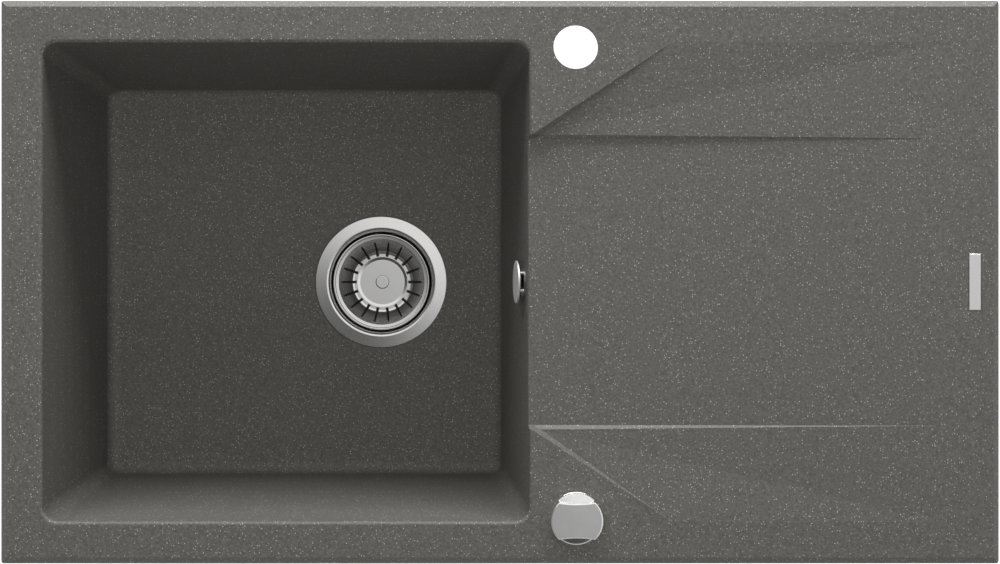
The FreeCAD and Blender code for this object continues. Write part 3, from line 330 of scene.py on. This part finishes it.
def moulded(name):
    """Moulded plastic or rubber: slight shade changes and a fine eroded surface."""
    dark, light, roughness, grain, depth = MOULDED[name]
    finish = Finish(name, dark, light, (roughness - MOULDED_SWING, roughness + MOULDED_SWING))
    finish.vary(finish.noise(SHADE_SIZE, detail=3.0))
    finish.bump(finish.noise(grain), depth)
    return finish.material


# Finish of each material slot, and of the nodes that differ from their slot

CHROME_ROUGHNESS = 0.14
KNOB_ROUGHNESS = 0.2
COVER_ROUGHNESS = 0.6

waste_low, waste_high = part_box("waste_flange")
waste_axis = (waste_low + waste_high) / 2

FINISHES = {
    "granite": granite(),
    "badge_metal": brushed_plate(),
    "stainless": turned_steel("stainless", waste_axis),
    "fastener_steel": plated_steel(),
    "chrome": chrome("chrome", CHROME_ROUGHNESS),
    **{slot: moulded(slot) for slot in MOULDED},
}

NODE_FINISHES = {
    "overflow_cover": chrome("matt_chrome", COVER_ROUGHNESS),
    "control_knob": chrome("satin_chrome", KNOB_ROUGHNESS),
    # The basket's steel gets painted shade on its wall as well as rings
    "strainer_basket": turned_steel("pressed_steel_painted_shade", waste_axis, BASKET_WALL),
}

for part in frame["record"]["subparts"]:
    mesh = nodes[part["node"]].data
    mesh.materials.clear()
    mesh.materials.append(NODE_FINISHES.get(part["node"], FINISHES[part["material_slot"]]))


# Overflow hose: a moulded tube with rounded ribs, along the run that its solid takes

HOSE_BEND = 0.050
HOSE_BORE = 0.0095
HOSE_VALLEY = 0.0107
HOSE_PITCH = 0.005
HOSE_SIDES = 64
RIB_RINGS = 10
SHARP_EDGE = math.radians(50)


def hose_path(top, end):
    """How long the hose is, and a function for the place and heading at a distance along it."""
    down = top.z - end.z - HOSE_BEND
    arc = HOSE_BEND * math.pi / 2
    length = down + arc + top.x - end.x - HOSE_BEND

    def at(run):
        if run <= down:
            return top - Vector((0.0, 0.0, run)), Vector((0.0, 0.0, -1.0))
        if run >= down + arc:
            return end + Vector((length - run, 0.0, 0.0)), Vector((-1.0, 0.0, 0.0))
        turn = (run - down) / HOSE_BEND
        back = Vector((1 - math.cos(turn), 0.0, math.sin(turn))) * HOSE_BEND
        return top - Vector((0.0, 0.0, down)) - back, Vector((-math.sin(turn), 0.0, -math.cos(turn)))

    return length, at


def hose_rings(length, crest):
    """Distance along the hose and radius of each ring, out along the ribs and back along the bore."""
    cuff = 2 * crest
    ribbed = length - 2 * cuff
    steps = int(ribbed / HOSE_PITCH) * RIB_RINGS
    outside = [(0.0, crest)]
    for i in range(steps + 1):
        swell = 0.5 + 0.5 * math.cos(math.tau * i / RIB_RINGS)
        outside.append((cuff + ribbed * i / steps, HOSE_VALLEY + (crest - HOSE_VALLEY) * swell))
    outside.append((length, crest))
    return outside + [(run, HOSE_BORE) for run, radius in reversed(outside)]


def ribbed_hose():
    """Make the ribbed hose in the box of its solid, and let it stand for the solid."""
    low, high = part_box("overflow_hose")
    crest = (high.y - low.y) / 2
    length, at = hose_path(Vector((high.x - crest, 0.0, high.z)), Vector((low.x, 0.0, low.z + crest)))
    rings = hose_rings(length, crest)
    side = Vector((0.0, 1.0, 0.0))
    points = []
    faces = []
    for i, (run, radius) in enumerate(rings):
        middle, way = at(run)
        across = way.cross(side)
        here = i * HOSE_SIDES
        there = (i + 1) % len(rings) * HOSE_SIDES
        for j in range(HOSE_SIDES):
            angle = math.tau * j / HOSE_SIDES
            points.append(middle + (across * math.cos(angle) + side * math.sin(angle)) * radius)
            after = (j + 1) % HOSE_SIDES
            faces.append((here + j, there + j, there + after, here + after))
    mesh = bpy.data.meshes.new("ribbed_hose")
    mesh.from_pydata(points, [], faces)
    mesh.shade_smooth()
    mesh.set_sharp_from_angle(angle=SHARP_EDGE)
    mesh.materials.append(FINISHES["white_plastic"])
    hose = bpy.data.objects.new("ribbed_hose", mesh)
    bpy.context.scene.collection.objects.link(hose)
    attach(hose, "sink")
    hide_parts("overflow_hose")


ribbed_hose()


# Floor

FLOOR_GAP = 0.002
FLOOR_HALF = 4.0
FLOOR_CORNERS = [(-1, -1), (1, -1), (1, 1), (-1, 1)]
FLOOR_COLOR = (0.82, 0.82, 0.81)
FLOOR_ROUGHNESS = 0.8
FLOOR_GLOW = 0.45
WHITE = (1.0, 1.0, 1.0, 1.0)

floor_z = cad_low.z - FLOOR_GAP
floor_mesh = bpy.data.meshes.new("floor")
floor_points = [(x * FLOOR_HALF, y * FLOOR_HALF, floor_z) for x, y in FLOOR_CORNERS]
floor_mesh.from_pydata(floor_points, [], [(0, 1, 2, 3)])
floor = bpy.data.objects.new("floor", floor_mesh)
bpy.context.scene.collection.objects.link(floor)

# It glows only on rays that the camera follows, so it looks pale without lighting the sink
pale = Finish("pale_floor", FLOOR_COLOR, FLOOR_COLOR, (FLOOR_ROUGHNESS, FLOOR_ROUGHNESS))
pale.set_socket("Emission Color", WHITE)
pale.drive("Emission Strength", pale.product(pale.shown(), FLOOR_GLOW))
floor_mesh.materials.append(pale.material)


# Light: a strong low lamp behind the sink, one above the bowl, weaker ones all round, and a pale surround

# Name, place, width and height, watts, and whether shiny surfaces show it
LAMPS = [
    ("back_low", (0.0, 1.9, 0.5), (2.4, 0.7), 68.0, True),
    ("back_high", (0.0, 1.0, 2.0), (2.0, 1.0), 3.0, False),
    ("overhead", (-0.25, 0.0, 2.2), (0.6, 0.6), 22.0, False),
    ("right", (1.9, 0.0, 0.9), (1.2, 1.8), 8.0, False),
    ("left", (-1.9, 0.0, 0.9), (1.2, 1.8), 3.3, False),
    ("front", (0.0, -1.7, 1.2), (2.4, 0.9), 7.8, False),
]

for name, place, size, power, mirrored in LAMPS:
    lamp = bpy.data.lights.new(name, "AREA")
    lamp.shape = "RECTANGLE"
    lamp.size, lamp.size_y = size
    lamp.energy = power
    stand = bpy.data.objects.new(name, lamp)
    stand.location = place
    stand.rotation_euler = (-Vector(place)).to_track_quat("-Z", "Y").to_euler()
    stand.visible_glossy = mirrored
    bpy.context.scene.collection.objects.link(stand)

# The surround that shiny surfaces show: pale at the horizon, and overhead brighter towards the back right
AMBIENT = 0.02
BRIGHT_SIDE = (0.55, 0.83, 0.0)
LEAN_RANGE = (-0.26, 0.16)
OVERHEAD_RANGE = (0.08, 1.08)
HORIZON = 0.9
HORIZON_FADE = (0.75, 0.15)

world = bpy.data.worlds.new("surround")
bpy.context.scene.world = world
world.use_nodes = True
sky = Graph(world.node_tree)
direction = sky.node("ShaderNodeTexCoord").outputs["Generated"]
lean = sky.node("ShaderNodeVectorMath", {0: direction}, {1: BRIGHT_SIDE}, operation="DOT_PRODUCT")
height = sky.node("ShaderNodeSeparateXYZ", {"Vector": direction}).outputs["Z"]
overhead = sky.remap(lean.outputs["Value"], *LEAN_RANGE, *OVERHEAD_RANGE, smooth=True)
low_down = sky.remap(height, *HORIZON_FADE, smooth=True)
level = sky.math("ADD", overhead, sky.product(low_down, sky.math("SUBTRACT", HORIZON, overhead)))
bright = sky.node("ShaderNodeBackground", {"Strength": level}).outputs["Background"]
ambient = sky.tree.nodes["Background"]
ambient.inputs["Color"].default_value = WHITE
ambient.inputs["Strength"].default_value = AMBIENT
choice = sky.node("ShaderNodeMixShader", {0: sky.shown(), 1: ambient.outputs["Background"], 2: bright})
sky.tree.links.new(choice.outputs["Shader"], sky.tree.nodes["World Output"].inputs["Surface"])


# Camera straight above the middle of the sink, with the tap hole at the top of the picture

RIM_TOP = 0.010
CAMERA_HEIGHT = 1.426
VIEW_WIDTH = 0.7793
SENSOR = 36.0

lens = bpy.data.cameras.new("camera")
lens.sensor_width = SENSOR
lens.lens = SENSOR * CAMERA_HEIGHT / VIEW_WIDTH
camera = bpy.data.objects.new("camera", lens)
camera.location = (0.0, 0.0, RIM_TOP + CAMERA_HEIGHT)
bpy.context.scene.collection.objects.link(camera)
bpy.context.scene.camera = camera
bpy.context.scene.view_settings.view_transform = "Standard"
